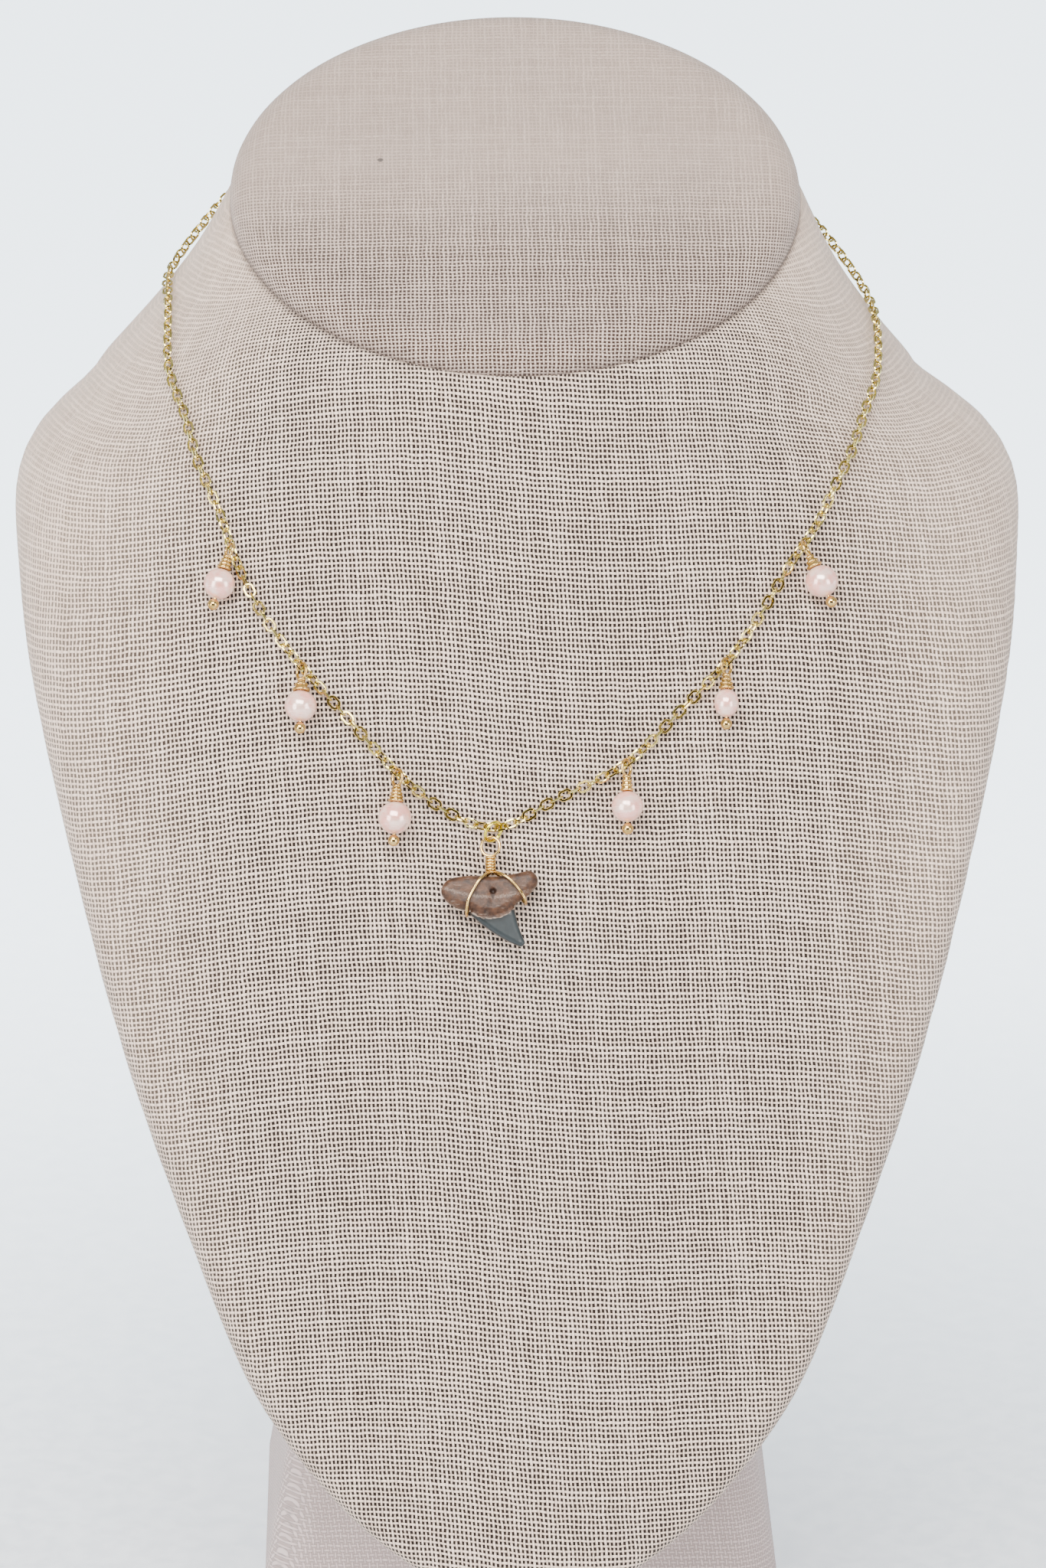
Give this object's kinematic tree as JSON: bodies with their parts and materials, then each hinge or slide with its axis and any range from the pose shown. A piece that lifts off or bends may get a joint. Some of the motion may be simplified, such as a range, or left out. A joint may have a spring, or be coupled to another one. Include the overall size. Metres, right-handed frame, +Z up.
{
  "type": "shark tooth necklace on a neck bust",
  "caption": "Fine cable chain necklace with a wire-wrapped shark tooth and small pearl drops, worn by a linen-covered neck bust on a pedestal.",
  "frame": {"origin": "middle of the pedestal's underside, on the table", "axes": "+Z up, the chest faces -Y, +X to the right seen from the front"},
  "size_m": [0.145, 0.1386, 0.2177],
  "materials": {
    "linen": "plain woven linen, greige with a pink cast",
    "linen_shade": "plain woven linen, a little darker",
    "chain_gold": "polished pale yellow gold",
    "ring_gold": "polished greenish yellow gold",
    "wire_gold": "polished champagne gold",
    "fossil_tooth": "satin enamel, mottled brown root and slate crown",
    "pink_pearl": "pale pink nacre with a soft lustre"
  },
  "bodies": {
    "root": {"bust_form": "linen", "neck_cap": "linen", "bust_foot": "linen_shade", "chain_front": "chain_gold", "chain_back_left": "chain_gold", "chain_back_right": "chain_gold", "clasp": "chain_gold", "jump_ring": "ring_gold", "pendant_wire": "wire_gold", "shark_tooth": "fossil_tooth", "pearl_1": "pink_pearl", "pearl_2": "pink_pearl", "pearl_3": "pink_pearl", "pearl_4": "pink_pearl", "pearl_5": "pink_pearl", "pearl_6": "pink_pearl", "drop_pin_1": "wire_gold", "drop_pin_2": "wire_gold", "drop_pin_3": "wire_gold", "drop_pin_4": "wire_gold", "drop_pin_5": "wire_gold", "drop_pin_6": "wire_gold"}
  },
  "joints": []
}
